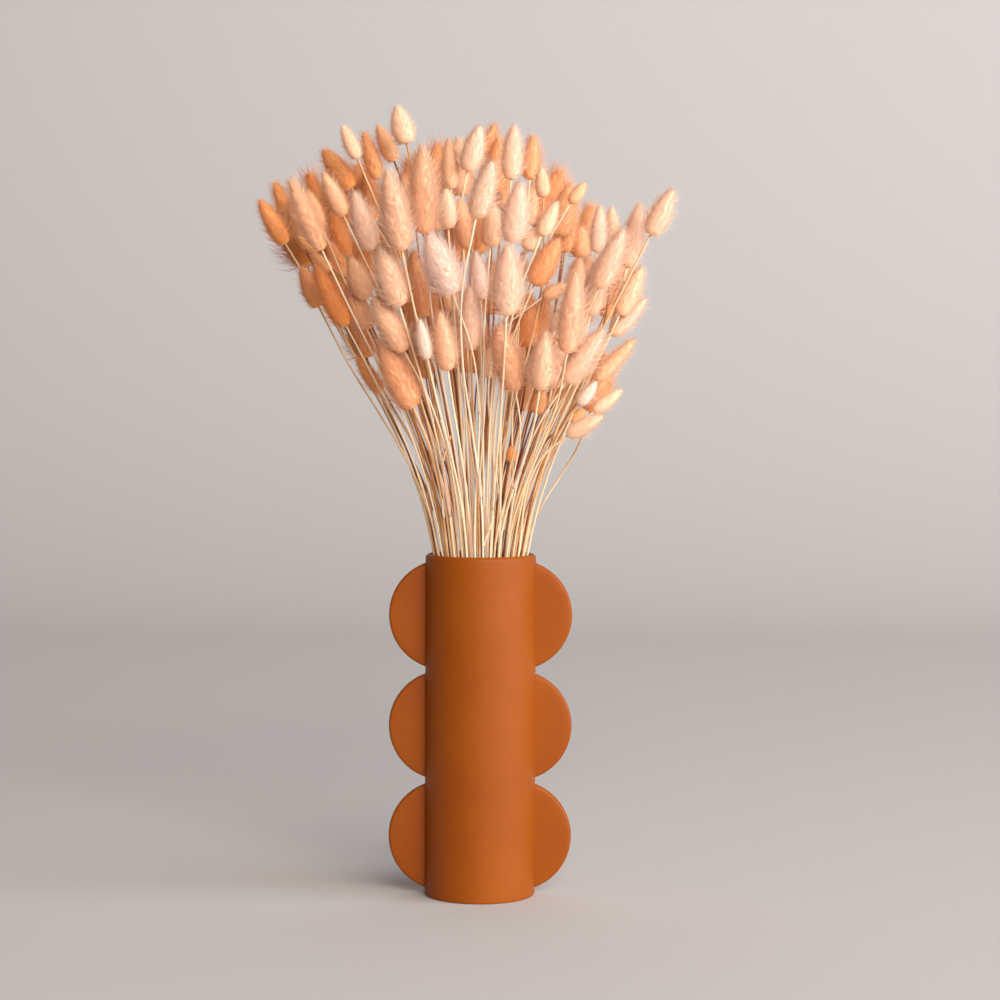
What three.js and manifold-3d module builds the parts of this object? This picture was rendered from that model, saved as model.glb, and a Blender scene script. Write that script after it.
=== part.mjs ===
// A full bunch of dried bunny tail grass standing in a tall terracotta vase whose two side plates are
// cut in round lobes. Millimetres, +Z up, the front faces -Y, the origin is the centre of the
// vase's underside.

import * as THREE from 'three';
import Module from 'manifold-3d';

const wasm = await Module();
wasm.setup();

// Vase: a straight round body with a rounded rim, and a lobed plate on the left and on the right
const VASE_H = 254;
const VASE_R = 41;
const VASE_WALL = 4.5;
const VASE_FLOOR = 6;
const RIM_ROUND = 2;
const FOOT_ROUND = 1.5;
const VASE_SIDES = 48;
const LOBES = 3;
const LOBE_R = 41;
const LOBE_FROM_AXIS = 27;
const LOBE_FIRST_Z = 43.7;
const LOBE_STEP_Z = 82.5;
const LOBE_SEGMENTS = 13;
const NOTCH_R = 2.3;
const PLATE_THICK = 9;
const PLATE_ROUND = 2;
const PLATE_ROOT_X = 37.5;

// Stems
const STEM_R = 0.85;
const STEM_TOP_R = 0.7;
const FOOT_GAP = 0.3;
const NECK_Z = 250;
const NECK_R = 34.4;
const BUNCH_AT_FLOOR = 0.8;
const BUNCH_IN_BODY = 0.55;
const CLEARANCE = 0.45;

// The bunch as a fan: the lines of its heads meet at FOCUS_Z on the axis, spread by FAN_DEG and end at
// FAN_REACH. The stems leave the neck more steeply, on lines from NECK_FOCUS_Z. The depth of a head
// is a share of the fan's own depth there.
const FOCUS_Z = 150;
const NECK_FOCUS_Z = 60;
const FAN_DEG = 27;
const FAN_REACH = 425;
const LAYER_DEPTH = [-0.68, -0.36, 0.12];
const LAYER_SPREAD = [0.14, 0.24, 0.5];
const BACK_DEPTH = 0.85;

// Heads: width of the solid core of tufts against the width of the whole soft head. The heads at the
// back stay inside the outline that the shown ones make, and out of the open cleft (x, z, radius).
const CORE_SHARE = 0.98;
const BACK_HEADS = 33;
const BACK_TRIES = 900;
const OUTLINE_TURN = 0.09;
const OUTLINE_RANK = 2;
const CLEFT = [50.6, 466, 7];
const SEED = 20317;

// The heads that show from the front, seen from EYE and measured in the upright plane through the
// axis: x and z of the head's foot, x and z of its tip, width, and its layer (0 front, 1 middle, 2 back)
const EYE = new THREE.Vector3(14, -1867, 391);
const HEADS = [
  [-56, 556, -63, 583, 18, 1],
  [-92, 545, -103, 569, 12, 1],
  [-65, 543, -77, 569, 13, 2],
  [-77, 530, -87, 564, 13, 2],
  [-96, 523, -117, 551, 17, 2],
  [-145, 482, -164, 514, 14, 1],
  [-139, 496, -153, 527, 12, 2],
  [-118, 478, -141, 529, 15, 0],
  [-118, 495, -128, 521, 10, 2],
  [-102, 503, -117, 534, 13, 1],
  [-122, 476, -136, 488, 9, 2],
  [-120, 436, -133, 465, 15, 1],
  [-100, 422, -123, 466, 16, 1],
  [-74, 373, -92, 399, 12, 1],
  [-83, 477, -94, 520, 17, 1],
  [-59, 478, -70, 536, 19, 0],
  [-42, 490, -45, 553, 19, 0],
  [-57, 508, -57, 534, 13, 2],
  [-23, 523, -25, 559, 13, 1],
  [-25, 494, -27, 523, 15, 1],
  [-11, 536, -2, 569, 17, 1],
  [-1, 539, 9, 570, 12, 2],
  [-5, 503, 7, 543, 17, 0],
  [-10, 479, -17, 515, 15, 1],
  [21, 530, 23, 569, 16, 1],
  [35, 530, 37, 562, 13, 2],
  [45, 517, 43, 539, 12, 2],
  [6, 481, 9, 511, 17, 1],
  [22, 484, 28, 528, 19, 0],
  [34, 497, 38, 528, 13, 2],
  [44, 489, 55, 514, 13, 1],
  [34, 478, 40, 495, 16, 1],
  [38, 453, 56, 487, 19, 1],
  [-19, 446, -38, 489, 24, 0],
  [-61, 437, -75, 481, 21, 0],
  [-42, 429, -51, 477, 18, 1],
  [-79, 481, -90, 503, 13, 2],
  [-1, 442, -5, 477, 15, 1],
  [18, 431, 19, 481, 21, 0],
  [29, 451, 30, 477, 10, 1],
  [-8, 405, -9, 451, 16, 0],
  [-40, 398, -46, 427, 11, 0],
  [-25, 390, -31, 432, 16, 0],
  [-57, 404, -80, 444, 19, 0],
  [-83, 420, -100, 451, 18, 1],
  [-51, 362, -75, 413, 22, 0],
  [23, 376, 10, 422, 21, 0],
  [34, 407, 34, 446, 20, 2],
  [43, 376, 47, 418, 17, 0],
  [63, 403, 69, 462, 17, 0],
  [54, 420, 60, 435, 13, 1],
  [86, 451, 104, 494, 17, 0],
  [85, 477, 87, 511, 13, 1],
  [96, 481, 95, 510, 13, 2],
  [107, 466, 116, 512, 16, 1],
  [124, 490, 140, 523, 17, 1],
  [120, 497, 125, 509, 9, 2],
  [65, 513, 76, 528, 11, 2],
  [61, 477, 65, 511, 13, 2],
  [72, 473, 73, 495, 16, 2],
  [59, 477, 61, 503, 13, 2],
  [102, 431, 118, 466, 16, 1],
  [96, 416, 121, 443, 13, 1],
  [62, 382, 89, 420, 18, 0],
  [85, 383, 113, 413, 12, 1],
  [64, 342, 90, 357, 13, 0],
  [83, 360, 104, 376, 11, 1],
  [72, 365, 85, 382, 11, 1],
  [65, 353, 77, 361, 10, 2],
  [23, 322, 22, 334, 10, 2],
  [40, 358, 46, 376, 13, 2],
  [-41, 384, -43, 400, 13, 2],
  [6, 384, 6, 407, 16, 2],
  [-101, 458, -113, 484, 13, 2],
  [-85, 442, -97, 473, 17, 1],
  [-33, 492, -34, 509, 12, 2],
  [-23, 433, -25, 452, 17, 2],
  [15, 508, 17, 528, 16, 2],
  [-12, 523, -14, 539, 14, 2],
  [80, 431, 87, 473, 17, 1],
  [45, 444, 64, 453, 12, 2],
  [-79, 499, -86, 536, 14, 2],
  [-111, 463, -125, 475, 10, 2],
  [-100, 473, -111, 508, 15, 2],
  [67, 442, 72, 473, 15, 2],
];

const V = (x, y, z) => new THREE.Vector3(x, y, z);

// A repeatable random draw between 0 and 1
let drawState = SEED;
function draw() {
  drawState = (drawState + 0x6d2b79f5) | 0;
  let t = Math.imul(drawState ^ (drawState >>> 15), 1 | drawState);
  t = (t + Math.imul(t ^ (t >>> 7), 61 | t)) ^ t;
  return ((t ^ (t >>> 14)) >>> 0) / 4294967296;
}

// Closed meshes
function solid(points, triangles) {
  return new wasm.Manifold(new wasm.Mesh({
    numProp: 3,
    vertProperties: new Float32Array(points.flatMap((p) => [p.x, p.y, p.z])),
    triVerts: new Uint32Array(triangles.flat()),
  }));
}

function named(name, manifold, colour, roughness) {
  const mesh = manifold.getMesh();
  const geometry = new THREE.BufferGeometry();
  const points = [];
  for (let i = 0; i < mesh.vertProperties.length; i += mesh.numProp) {
    points.push(...mesh.vertProperties.slice(i, i + 3));
  }
  geometry.setAttribute('position', new THREE.Float32BufferAttribute(points, 3));
  geometry.setIndex(Array.from(mesh.triVerts));
  const material = new THREE.MeshStandardMaterial({ color: colour, roughness, metalness: 0 });
  const out = new THREE.Mesh(geometry, material);
  out.name = name;
  return out;
}

// A profile of radius and height, from the axis below, up the outside and down the inside to the axis
function revolve(profile, sides) {
  const points = [];
  const rows = profile.map(([r, z]) => {
    const row = [];
    for (let i = 0; i < (r > 0 ? sides : 1); i++) {
      const a = (2 * Math.PI * i) / sides;
      row.push(points.length);
      points.push(V(r * Math.cos(a), r * Math.sin(a), z));
    }
    return row;
  });
  const triangles = [];
  for (let k = 0; k + 1 < rows.length; k++) {
    for (let i = 0; i < sides; i++) {
      const a = rows[k][i % rows[k].length];
      const b = rows[k][(i + 1) % rows[k].length];
      const c = rows[k + 1][(i + 1) % rows[k + 1].length];
      const d = rows[k + 1][i % rows[k + 1].length];
      if (a !== b) triangles.push([a, b, c]);
      if (c !== d) triangles.push([a, c, d]);
    }
  }
  return solid(points, triangles);
}

function vaseBody() {
  const inner = VASE_R - VASE_WALL;
  const profile = [[0, 0]];
  for (const a of [0, 45, 90]) {
    const t = THREE.MathUtils.degToRad(a);
    profile.push([VASE_R - FOOT_ROUND * (1 - Math.sin(t)), FOOT_ROUND * (1 - Math.cos(t))]);
  }
  for (const a of [0, 30, 60, 90]) {
    const t = THREE.MathUtils.degToRad(a);
    profile.push([VASE_R - RIM_ROUND * (1 - Math.cos(t)), VASE_H - RIM_ROUND * (1 - Math.sin(t))]);
  }
  for (const a of [90, 60, 30, 0]) {
    const t = THREE.MathUtils.degToRad(a);
    profile.push([inner + RIM_ROUND * (1 - Math.cos(t)), VASE_H - RIM_ROUND * (1 - Math.sin(t))]);
  }
  profile.push([inner, VASE_FLOOR], [0, VASE_FLOOR]);
  return revolve(profile, VASE_SIDES);
}

// The edge of the right plate: lobe arcs joined by small hollow arcs, moved in by inset
function plateEdge(inset) {
  const edge = [];
  const arc = (cx, cz, r, from, to, count) => {
    for (let i = 0; i <= count; i++) {
      const a = from + ((to - from) * i) / count;
      edge.push([cx + r * Math.cos(a), cz + r * Math.sin(a)]);
    }
  };
  const notchX = Math.sqrt((LOBE_R + NOTCH_R) ** 2 - (LOBE_STEP_Z / 2) ** 2);
  const meet = Math.atan2(LOBE_STEP_Z / 2, notchX);
  const end = Math.acos((PLATE_ROOT_X + 0.6 - LOBE_FROM_AXIS) / LOBE_R);
  for (let k = 0; k < LOBES; k++) {
    const z = LOBE_FIRST_Z + k * LOBE_STEP_Z;
    const from = k === 0 ? -end : -meet;
    const to = k === LOBES - 1 ? end : meet;
    arc(LOBE_FROM_AXIS, z, LOBE_R - inset, from, to, LOBE_SEGMENTS);
    if (k < LOBES - 1) {
      const a = Math.PI + meet;
      const b = Math.PI - meet;
      const cx = LOBE_FROM_AXIS + notchX;
      for (const s of [0.33, 0.67]) {
        const t = a + (b - a) * s;
        edge.push([Math.max(PLATE_ROOT_X + 0.2, cx + (NOTCH_R + inset) * Math.cos(t)),
          z + LOBE_STEP_Z / 2 + (NOTCH_R + inset) * Math.sin(t)]);
      }
    }
  }
  edge.push([PLATE_ROOT_X, edge[edge.length - 1][1]]);
  edge.push([PLATE_ROOT_X, edge[0][1]]);
  return edge;
}

function plate(side) {
  const rings = [];
  for (const front of [true, false]) {
    for (const a of front ? [0, 45, 90] : [90, 45, 0]) {
      const t = THREE.MathUtils.degToRad(a);
      const y = PLATE_THICK / 2 - PLATE_ROUND * (1 - Math.cos(t));
      rings.push([front ? -y : y, PLATE_ROUND * (1 - Math.sin(t))]);
    }
  }
  const points = [];
  const outline = plateEdge(rings[0][1]).map(([x, z]) => new THREE.Vector2(x, z));
  for (const [y, inset] of rings) {
    for (const [x, z] of plateEdge(inset)) points.push(V(side * x, side * y, z));
  }
  const n = outline.length;
  const last = (rings.length - 1) * n;
  const triangles = [];
  for (let k = 0; k + 1 < rings.length; k++) {
    for (let i = 0; i < n; i++) {
      const a = k * n + i;
      const b = k * n + ((i + 1) % n);
      triangles.push([a, a + n, b + n], [a, b + n, b]);
    }
  }
  for (const [a, b, c] of THREE.ShapeUtils.triangulateShape(outline, [])) {
    const turn = outline[b].clone().sub(outline[a]).cross(outline[c].clone().sub(outline[a]));
    const [d, e] = turn > 0 ? [b, c] : [c, b];
    triangles.push([a, d, e], [last + a, last + e, last + d]);
  }
  return solid(points, triangles);
}

// The bunch as lines: every stem is a row of ten points, foot to tip of its head
const HEAD_FOOT = 8;
const TIP = 9;
const FOCUS = V(0, 0, FOCUS_Z);
const ACROSS = [0, 0.15, 0.38, 0.7, 1];
const GIRTH = [0.3, 0.82, 1, 0.74, 0.12];

function bunchRadius(z) {
  const up = z - FOCUS_Z;
  const cone = up * Math.tan(THREE.MathUtils.degToRad(FAN_DEG));
  return Math.min(cone, Math.sqrt(Math.max(0, FAN_REACH ** 2 - up ** 2)));
}

function onSightLine(x, z, y) {
  return V(x, 0, z).sub(EYE).multiplyScalar(1 - y / EYE.y).add(EYE);
}

function shownHead([x0, z0, x1, z1, width, layer]) {
  const share = LAYER_DEPTH[layer] + LAYER_SPREAD[layer] * (draw() - 0.5);
  const depth = Math.sqrt(Math.max(0, bunchRadius(z0) ** 2 - x0 ** 2)) + 8;
  const y0 = share * depth;
  const y1 = y0 * Math.hypot(x1, z1 - FOCUS_Z) / Math.hypot(x0, z0 - FOCUS_Z) + 5 * (draw() - 0.5);
  const foot = onSightLine(x0, z0, y0);
  return { foot, tip: onSightLine(x1, z1, y1), r: width / 2, shown: true };
}

function toSegment(px, pz, [x0, z0, x1, z1]) {
  const dx = x1 - x0;
  const dz = z1 - z0;
  const s = Math.min(1, Math.max(0, ((px - x0) * dx + (pz - z0) * dz) / (dx * dx + dz * dz)));
  return Math.hypot(px - x0 - s * dx, pz - z0 - s * dz);
}

// Whether a seen place, with r round it, lies within what the shown heads cover: no further out or in
// than those near its angle from the focus, and between the outer ones at its height
function insideOutline(x, z, r) {
  const turn = Math.atan2(x, z - FOCUS_Z);
  const near = HEADS.filter((h) => Math.abs(Math.atan2(h[2], h[3] - FOCUS_Z) - turn) < OUTLINE_TURN);
  if (near.length <= OUTLINE_RANK) return false;
  const tips = near.map((h) => Math.hypot(h[2], h[3] - FOCUS_Z)).sort((a, b) => b - a);
  const feet = near.map((h) => Math.hypot(h[0], h[1] - FOCUS_Z)).sort((a, b) => a - b);
  const level = HEADS.filter((h) => z > h[1] - r && z < h[3] + r).map((h) => {
    const s = THREE.MathUtils.clamp((z - h[1]) / (h[3] - h[1]), 0, 1);
    return [h[0] + s * (h[2] - h[0]), h[4] / 2];
  });
  const out = Math.hypot(x, z - FOCUS_Z);
  return (
    out > feet[1] &&
    out < tips[OUTLINE_RANK] &&
    level.some(([at, half]) => at - half < x - r) &&
    level.some(([at, half]) => at + half > x + r)
  );
}

// A head of the back half, seen through the widest gap that the heads so far leave inside the outline
function backHead() {
  let best = { gap: -Infinity };
  for (let tries = 0; tries < BACK_TRIES; tries++) {
    const around = Math.PI * draw();
    const lean = THREE.MathUtils.degToRad(FAN_DEG * 1.05 * Math.sqrt(draw()));
    const reach = FAN_REACH * (0.56 + 0.42 * draw());
    const length = 38 + 22 * draw();
    const way = V(Math.cos(around), BACK_DEPTH * Math.sin(around), 0).multiplyScalar(Math.sin(lean));
    way.setZ(Math.cos(lean)).normalize();
    const tip = way.clone().multiplyScalar(reach).add(FOCUS);
    const bend = V(draw() - 0.5, draw() - 0.5, 0).multiplyScalar(0.3);
    const foot = tip.clone().addScaledVector(way.clone().add(bend).normalize(), -length);
    const r = 7.5 + 3 * draw();
    const seen = [0, 0.25, 0.5, 0.75, 1].map((s) => {
      const p = foot.clone().lerp(tip, s);
      const scale = EYE.y / (EYE.y - p.y);
      return [EYE.x + (p.x - EYE.x) * scale, EYE.z + (p.z - EYE.z) * scale];
    });
    const inside = seen.every(([x, z]) => {
      return insideOutline(x, z, r) && Math.hypot(x - CLEFT[0], z - CLEFT[1]) > CLEFT[2] + r;
    });
    const apart = (h) => h.foot.distanceTo(foot) > r + h.r && h.tip.distanceTo(tip) > r + h.r;
    if (!inside || !heads.every(apart)) continue;
    const gap = seen
      .map(([x, z]) => Math.min(...seenHeads.map((h) => toSegment(x, z, h) - h[4] / 2)))
      .reduce((sum, g) => sum + Math.min(10, Math.max(-6, g)), 0);
    if (gap > best.gap) best = { gap, foot, tip, r, shown: false, row: [...seen[0], ...seen[4], 2 * r] };
  }
  seenHeads.push(best.row);
  return best;
}

const heads = HEADS.map(shownHead);
const seenHeads = [...HEADS];
while (heads.length < HEADS.length + BACK_HEADS) heads.push(backHead());

// Places of the stems in the neck: the steeper a head, the nearer the axis, then evened out
function neckPlaces() {
  const order = heads
    .map((h, i) => [Math.hypot(h.foot.x, h.foot.y) / (h.foot.z - FOCUS_Z), i])
    .sort((a, b) => a[0] - b[0]);
  const places = [];
  order.forEach(([, i], rank) => {
    const around = Math.atan2(heads[i].foot.y, heads[i].foot.x);
    const rho = NECK_R * Math.sqrt((rank + 0.5) / order.length);
    places[i] = V(rho * Math.cos(around), rho * Math.sin(around), NECK_Z);
  });
  const spacing = 1.85 * NECK_R / Math.sqrt(places.length);
  for (let round = 0; round < 80; round++) {
    for (let i = 0; i < places.length; i++) {
      for (let j = 0; j < i; j++) {
        const gap = places[i].clone().sub(places[j]);
        const d = Math.max(gap.length(), 1e-3);
        if (d < spacing) {
          gap.multiplyScalar((0.25 * (spacing - d)) / d);
          places[i].add(gap);
          places[j].sub(gap);
        }
      }
    }
    for (const p of places) keepInNeck(p);
  }
  return places;
}

function keepInNeck(p) {
  const rho = Math.hypot(p.x, p.y);
  if (rho > NECK_R) {
    p.x *= NECK_R / rho;
    p.y *= NECK_R / rho;
  }
}

function stemLine(head, neck) {
  const floor = VASE_FLOOR + FOOT_GAP;
  const inside = [
    V(neck.x * BUNCH_AT_FLOOR, neck.y * BUNCH_AT_FLOOR, floor),
    V(neck.x * BUNCH_IN_BODY, neck.y * BUNCH_IN_BODY, floor + (NECK_Z - floor) / 3),
    V(neck.x * BUNCH_IN_BODY, neck.y * BUNCH_IN_BODY, floor + (2 * (NECK_Z - floor)) / 3),
    neck,
  ];
  const reach = neck.distanceTo(head.foot) * 0.4;
  const leave = neck.clone().setZ(NECK_Z - NECK_FOCUS_Z).normalize();
  const arrive = head.tip.clone().sub(head.foot).normalize();
  const curve = new THREE.CubicBezierCurve3(
    neck,
    neck.clone().addScaledVector(leave, reach),
    head.foot.clone().addScaledVector(arrive, -reach),
    head.foot,
  );
  const outside = [0.16, 0.36, 0.58, 0.8].map((s) => curve.getPoint(s));
  return [...inside, ...outside, head.foot, head.tip];
}

const places = neckPlaces();
const stems = heads.map((head, i) => ({
  ...head,
  line: stemLine(head, places[i]),
  sight: head.foot.clone().sub(EYE).normalize(),
}));

// Two neighbours in the neck share a node, joined by a short piece of root on the floor
function pairUp() {
  const free = stems.map((s, i) => i).sort((a, b) => places[b].length() - places[a].length());
  const pairs = [];
  while (free.length) {
    const a = free.shift();
    free.sort((i, j) => places[a].distanceTo(places[i]) - places[a].distanceTo(places[j]));
    pairs.push([a, free.shift()]);
    free.sort((i, j) => places[j].length() - places[i].length());
  }
  return pairs;
}

const pairs = pairUp();

// Keep every stem and head clear of the others: overlaps push the lines apart, a head that shows
// from the front moves only along its line of sight, and the stems follow smoothly
const STEM_NODES = 9;
const NODES = STEM_NODES + ACROSS.length - 1;

function nodeAt(stem, n, out) {
  if (n < STEM_NODES) return out.copy(stem.line[n]);
  return out.lerpVectors(stem.line[HEAD_FOOT], stem.line[TIP], ACROSS[n - HEAD_FOOT]);
}

function nodeRadius(stem, n) {
  return n < HEAD_FOOT ? STEM_R : Math.max(STEM_R, GIRTH[n - HEAD_FOOT] * stem.r * CORE_SHARE);
}

function segmentList() {
  const list = [];
  stems.forEach((stem, k) => {
    for (let n = 0; n + 1 < NODES; n++) {
      const ra = n === HEAD_FOOT ? nodeRadius(stem, n) : Math.min(nodeRadius(stem, n), stem.r);
      const rb = n + 1 === HEAD_FOOT ? STEM_R : nodeRadius(stem, n + 1);
      list.push({ k: [k, k], n: [n, n + 1], r: [ra, rb], head: n >= HEAD_FOOT });
    }
  });
  for (const [a, b] of pairs) list.push({ k: [a, b], n: [0, 0], r: [STEM_R, STEM_R], head: false });
  return list;
}

const clamp01 = (v) => Math.min(1, Math.max(0, v));

// Shares along two segments at which they come closest
function closest(p, q, u, v) {
  const w = p.clone().sub(q);
  const a = u.dot(u);
  const b = u.dot(v);
  const c = v.dot(v);
  const d = u.dot(w);
  const e = v.dot(w);
  const det = a * c - b * b;
  let s = det > 1e-9 ? clamp01((b * e - c * d) / det) : 0.5;
  const t = clamp01((b * s + e) / c);
  s = clamp01((b * t - d) / a);
  return [s, t];
}

function shift(k, n, by) {
  const stem = stems[k];
  if (n < HEAD_FOOT) {
    stem.line[n].add(n <= 3 ? V(by.x, by.y, 0) : by);
    if (n <= 3) keepInNeck(stem.line[n]);
    return;
  }
  const move = by.clone();
  if (stem.shown) {
    const along = by.dot(stem.sight);
    move.multiplyScalar(0.1).addScaledVector(stem.sight, along);
  }
  const s = ACROSS[n - HEAD_FOOT];
  stem.line[HEAD_FOOT].addScaledVector(move, 1 - 0.7 * s);
  stem.line[TIP].addScaledVector(move, 0.3 + 0.7 * s);
}

function spreadOut(rounds) {
  const segments = segmentList();
  const rest = stems.map((s) => s.line.map((p) => p.clone()));
  const ends = segments.map(() => [V(), V()]);
  const read = (i) => {
    nodeAt(stems[segments[i].k[0]], segments[i].n[0], ends[i][0]);
    nodeAt(stems[segments[i].k[1]], segments[i].n[1], ends[i][1]);
  };
  let near = [];
  for (let round = 0; round < rounds; round++) {
    if (round % 8 === 0) near = nearPairs(segments, ends, read);
    for (const [i, j] of near) {
      read(i);
      read(j);
      const u = ends[i][1].clone().sub(ends[i][0]);
      const v = ends[j][1].clone().sub(ends[j][0]);
      const [s, t] = closest(ends[i][0], ends[j][0], u, v);
      const gap = ends[i][0].clone().addScaledVector(u, s).sub(ends[j][0]).addScaledVector(v, -t);
      const a = segments[i];
      const b = segments[j];
      const want = a.r[0] + (a.r[1] - a.r[0]) * s + b.r[0] + (b.r[1] - b.r[0]) * t + CLEARANCE;
      const d = gap.length();
      if (d >= want) continue;
      const sight = stems[a.k[0]].sight;
      if (a.head && b.head && stems[a.k[0]].shown && stems[b.k[0]].shown) {
        gap.copy(sight).multiplyScalar(gap.dot(sight) < 0 ? -1 : 1);
      } else {
        gap.multiplyScalar(1 / Math.max(d, 1e-6));
      }
      const push = 0.5 * (want - d);
      const shareA = a.head && !b.head ? 0.5 : b.head && !a.head ? 1.5 : 1;
      shift(a.k[0], a.n[0], gap.clone().multiplyScalar(push * shareA * (1 - s)));
      shift(a.k[1], a.n[1], gap.clone().multiplyScalar(push * shareA * s));
      shift(b.k[0], b.n[0], gap.clone().multiplyScalar(-push * (2 - shareA) * (1 - t)));
      shift(b.k[1], b.n[1], gap.clone().multiplyScalar(-push * (2 - shareA) * t));
    }
    smooth(rest, round < 0.5 * rounds ? 0.2 : 0.03);
  }
}

function nearPairs(segments, ends, read) {
  const out = [];
  const boxes = segments.map((seg, i) => {
    read(i);
    const r = Math.max(...seg.r) + 3;
    return new THREE.Box3().setFromPoints(ends[i]).expandByScalar(r);
  });
  for (let i = 0; i < segments.length; i++) {
    for (let j = 0; j < i; j++) {
      if (segments[i].k[0] === segments[j].k[0] || segments[i].k[1] === segments[j].k[1]) continue;
      if (segments[i].k[0] === segments[j].k[1]) continue;
      if (boxes[i].intersectsBox(boxes[j])) out.push([i, j]);
    }
  }
  return out;
}

function smooth(rest, share) {
  stems.forEach((stem, k) => {
    const off = stem.line.map((p, i) => p.clone().sub(rest[k][i]));
    for (let i = 1; i < HEAD_FOOT; i++) {
      if (i === 3) continue;
      const mean = off[i - 1].clone().add(off[i + 1]).multiplyScalar(0.5);
      const to = off[i].clone().lerp(mean, share);
      if (i < 3) to.z = 0;
      stem.line[i].copy(rest[k][i]).add(to);
      if (i < 3) keepInNeck(stem.line[i]);
    }
  });
}

spreadOut(500);

// A closed skin over rings of points that run from one tip to another; each ring has 3 or 6 points
function skin(from, rings, to) {
  const points = [from, ...rings.flat(), to];
  const triangles = [];
  let base = 1;
  const first = rings[0].length;
  for (let i = 0; i < first; i++) triangles.push([0, base + ((i + 1) % first), base + i]);
  for (let k = 0; k + 1 < rings.length; k++) {
    const n = rings[k].length;
    const m = rings[k + 1].length;
    const up = base + n;
    for (let i = 0; i < Math.min(n, m); i++) {
      const next = (i + 1) % Math.min(n, m);
      const a = base + (n > m ? 2 * i : i);
      const b = base + (n > m ? 2 * next : next);
      const c = up + (m > n ? 2 * next : next);
      const d = up + (m > n ? 2 * i : i);
      if (m > n) triangles.push([a, d + 1, d], [a, b, d + 1], [b, c, d + 1]);
      else if (n > m) triangles.push([d, a, a + 1], [d, a + 1, c], [c, a + 1, b]);
      else if ((i + k) % 2) triangles.push([a, b, c], [a, c, d]);
      else triangles.push([a, b, d], [b, c, d]);
    }
    base = up;
  }
  const last = rings[rings.length - 1].length;
  const end = points.length - 1;
  for (let i = 0; i < last; i++) triangles.push([base + i, base + ((i + 1) % last), end]);
  return solid(points, triangles);
}

function ring(centre, along, across, r, count) {
  const u = across.addScaledVector(along, -across.dot(along)).normalize();
  const v = along.clone().cross(u);
  return Array.from({ length: count }, (_, i) => {
    const a = (2 * Math.PI * i) / count;
    return centre.clone().addScaledVector(u, r * Math.cos(a)).addScaledVector(v, r * Math.sin(a));
  });
}

// A head in six ridges, whose tufts stand out in turn from ring to ring
const TUFTS = [[0.03, 0.5], [0.15, 0.87], [0.34, 1], [0.54, 0.86], [0.73, 0.6], [0.88, 0.34]];
const TUFT_DEPTH = 0.26;
const TUFT_RISE = 0.06;

function headRing(stem, j, way, across) {
  const axis = stem.line[TIP].clone().sub(stem.line[HEAD_FOOT]);
  const [t, girth] = TUFTS[j];
  const centre = stem.line[HEAD_FOOT].clone().addScaledVector(axis, t);
  const along = axis.clone().normalize().multiplyScalar(way);
  const row = ring(centre, along, across, stem.r * CORE_SHARE * girth, 6);
  row.forEach((p, i) => {
    if ((i + j) % 2) p.lerp(centre, TUFT_DEPTH);
    else if (j > 0) p.addScaledVector(axis, TUFT_RISE);
  });
  return row;
}

// Two straws with their heads, as one skin: down the first, along a short piece of root on the
// floor, and up the second
function twoGrasses(a, b) {
  const down = a.line.slice(0, HEAD_FOOT + 1).reverse();
  const path = [...down, ...b.line.slice(0, HEAD_FOOT + 1)];
  const across = V(1, 0, 0);
  const rings = [];
  for (let j = TUFTS.length - 1; j >= 0; j--) rings.push(headRing(a, j, -1, across));
  path.forEach((p, k) => {
    const i = k <= HEAD_FOOT ? HEAD_FOOT - k : k - HEAD_FOOT - 1;
    const before = k === 0 ? a.line[TIP] : path[k - 1];
    const after = k === path.length - 1 ? b.line[TIP] : path[k + 1];
    const level = i > 0 && i <= 3;
    const along = level ? V(0, 0, k <= HEAD_FOOT ? -1 : 1)
      : p.clone().sub(before).normalize().add(after.clone().sub(p).normalize()).normalize();
    const r = i <= 3 ? STEM_R : STEM_R + ((STEM_TOP_R - STEM_R) * (i - 3)) / (HEAD_FOOT - 3);
    rings.push(ring(i ? p : p.clone().setZ(p.z + STEM_R), along, across, r, 3));
  });
  for (let j = 0; j < TUFTS.length; j++) rings.push(headRing(b, j, 1, across));
  return skin(a.line[TIP], rings, b.line[TIP]);
}

const TERRACOTTA = '#b8622c';
const STRAW = '#e3bd8a';

const group = new THREE.Group();
const body = vaseBody().add(plate(1)).add(plate(-1));
group.add(named('vase', body, TERRACOTTA, 0.85));
pairs.forEach(([a, b], k) => {
  const name = `bunny_tails_${String(k + 1).padStart(2, '0')}`;
  group.add(named(name, twoGrasses(stems[a], stems[b]), STRAW, 0.9));
});

export default group;
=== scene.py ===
import math

import bpy
import numpy as np
from mathutils import Matrix, Vector


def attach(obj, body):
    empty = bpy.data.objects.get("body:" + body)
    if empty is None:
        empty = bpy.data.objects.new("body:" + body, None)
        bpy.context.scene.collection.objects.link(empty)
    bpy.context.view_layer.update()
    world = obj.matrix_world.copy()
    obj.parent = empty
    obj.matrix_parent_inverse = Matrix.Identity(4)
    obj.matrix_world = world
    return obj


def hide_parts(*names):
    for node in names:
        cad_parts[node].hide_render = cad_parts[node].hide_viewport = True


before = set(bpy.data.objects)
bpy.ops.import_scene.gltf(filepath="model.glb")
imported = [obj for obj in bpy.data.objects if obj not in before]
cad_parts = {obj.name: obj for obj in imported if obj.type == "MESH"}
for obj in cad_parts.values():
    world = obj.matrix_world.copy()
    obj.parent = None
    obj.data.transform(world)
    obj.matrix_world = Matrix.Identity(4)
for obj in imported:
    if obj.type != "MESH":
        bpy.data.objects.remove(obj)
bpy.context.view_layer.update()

# Dried bunny tail grass that stands in its terracotta vase. The vase, the straws and the dry leaves are one
# piece each, and the downy heads are six. A head is a plush core, on which straight hairs and bending wisps
# grow.
rng = np.random.default_rng(41207)

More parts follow.
